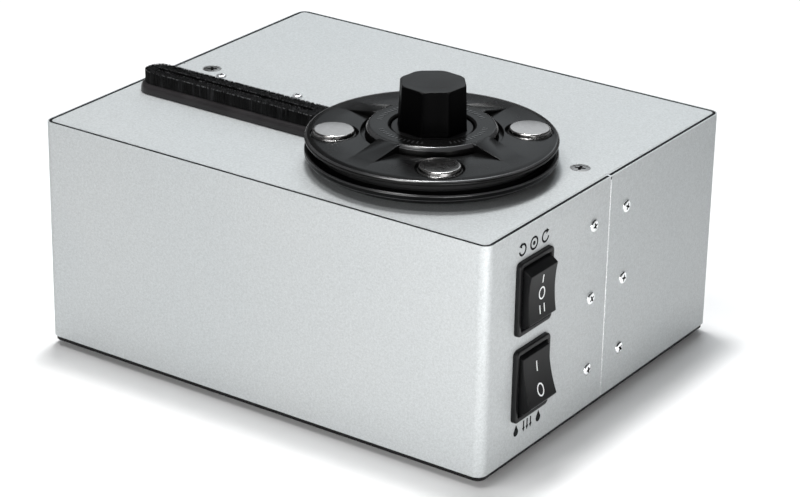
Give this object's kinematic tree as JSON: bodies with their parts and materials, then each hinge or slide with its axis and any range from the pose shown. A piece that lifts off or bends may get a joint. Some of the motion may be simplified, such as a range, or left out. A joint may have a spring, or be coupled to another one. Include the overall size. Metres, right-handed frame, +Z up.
{
  "type": "record cleaning machine",
  "caption": "Low metal-clad machine with a motor driven label platter, screw-down label clamp, radial bristle suction bar, rocker switches, tank and drain tap.",
  "frame": {"origin": "on the standing surface, under the middle of the whole machine's box", "axes": "+Z up, +Y to the rear (sockets and drain tap), +X to the right (switches)"},
  "size_m": [0.2336, 0.213, 0.1408],
  "materials": {
    "silver_panel": "fine satin brushed",
    "core_black": "cut edge",
    "base_black": "satin powder coat",
    "rubber": "matt",
    "seam_metal": "bright",
    "screw_steel": "bright zinc",
    "black_screw": "black oxide",
    "spindle_steel": "ground",
    "cast_grey": "as cast",
    "brass": "turned",
    "motor_dark": "satin",
    "zinc_plate": "zinc plated",
    "clamp_black": "satin moulded",
    "knob_black": "satin moulded",
    "polished_weight": "polished",
    "bar_black": "satin moulded",
    "bristle": "dense short pile",
    "hose": "smooth",
    "tank_plastic": "translucent moulded",
    "lid_plastic": "moulded",
    "switch_body": "fine spark texture",
    "switch_rocker": "satin",
    "inlet_black": "moulded",
    "lever_red": "moulded"
  },
  "bodies": {
    "root": {"base_plate": "base_black", "feet": "rubber", "front_wrap_skins": "silver_panel", "front_wrap_core": "core_black", "rear_wrap_skins": "silver_panel", "rear_wrap_core": "core_black", "left_joint_bracket": "seam_metal", "right_joint_bracket": "seam_metal", "left_side_screws": "screw_steel", "right_side_screws": "screw_steel", "top_plate": "silver_panel", "top_screws": "screw_steel", "base_screws": "screw_steel", "bearing_housing": "cast_grey", "drive_screws": "black_screw", "spindle_bush": "brass", "drive_motor": "motor_dark", "motor_gearbox": "cast_grey", "motor_bracket": "zinc_plate", "motor_screws": "screw_steel", "suction_bar": "bar_black", "bristle_ring": "bristle", "bar_screws": "screw_steel", "suction_plenum": "bar_black", "suction_hose": "hose", "tank": "tank_plastic", "tank_lid": "lid_plastic", "tank_lid_seal": "rubber", "tank_hanger": "zinc_plate", "hanger_screws": "screw_steel", "vacuum_hose": "hose", "blower_can": "cast_grey", "blower_shroud": "cast_grey", "blower_mount": "rubber", "motor_switch_housing": "switch_body", "vacuum_switch_housing": "switch_body", "switch_terminals": "brass", "mains_inlet": "inlet_black", "inlet_pins": "spindle_steel", "exhaust_grille": "inlet_black", "drain_hose": "hose", "drain_tap": "inlet_black", "power_unit": "motor_dark"},
    "turntable": {"spindle": "spindle_steel", "shaft_coupling": "cast_grey", "output_shaft": "spindle_steel", "platter": "clamp_black", "platter_screws": "screw_steel", "platter_mat": "rubber"},
    "clamp": {"clamp_disc": "clamp_black", "clamp_pad": "rubber", "clamp_weights": "polished_weight"},
    "knob": {"clamp_knob": "knob_black", "knob_insert": "brass"},
    "fan": {"blower_shaft": "spindle_steel", "impeller": "cast_grey"},
    "motor_rocker": {"motor_switch_rocker": "switch_rocker"},
    "vacuum_rocker": {"vacuum_switch_rocker": "switch_rocker"},
    "fuse_carrier": {"fuse_drawer": "inlet_black"},
    "drain_valve": {"drain_lever": "lever_red"}
  },
  "joints": [
    {"name": "turntable_spin", "type": "hinge", "parent": "root", "child": "turntable", "pos_m": [0.0417, -0.047, 0.105], "axis": [0, 0, 1], "continuous": true},
    {"name": "clamp_lift", "type": "slide", "parent": "turntable", "child": "clamp", "axis": [0, 0, 1], "range_m": [0, 0.04]},
    {"name": "knob_turn", "type": "hinge", "parent": "clamp", "child": "knob", "pos_m": [0.0417, -0.047, 0.125], "axis": [0, 0, 1], "continuous": true},
    {"name": "fan_spin", "type": "hinge", "parent": "root", "child": "fan", "pos_m": [0.0437, 0.024, 0.05], "axis": [0, 0, 1], "continuous": true},
    {"name": "motor_switch_tilt", "type": "hinge", "parent": "root", "child": "motor_rocker", "pos_m": [0.1047, -0.0728, 0.0752], "axis": [0, 1, 0], "range_deg": [-12, 12]},
    {"name": "vacuum_switch_tilt", "type": "hinge", "parent": "root", "child": "vacuum_rocker", "pos_m": [0.1047, -0.0728, 0.037], "axis": [0, 1, 0], "range_deg": [0, 24]},
    {"name": "fuse_drawer_slide", "type": "slide", "parent": "root", "child": "fuse_carrier", "axis": [0, 1, 0], "range_m": [0, 0.014]},
    {"name": "drain_lever_turn", "type": "hinge", "parent": "root", "child": "drain_valve", "pos_m": [-0.0083, 0.0865, 0.017], "axis": [0, 0, 1], "range_deg": [0, 90]}
  ]
}
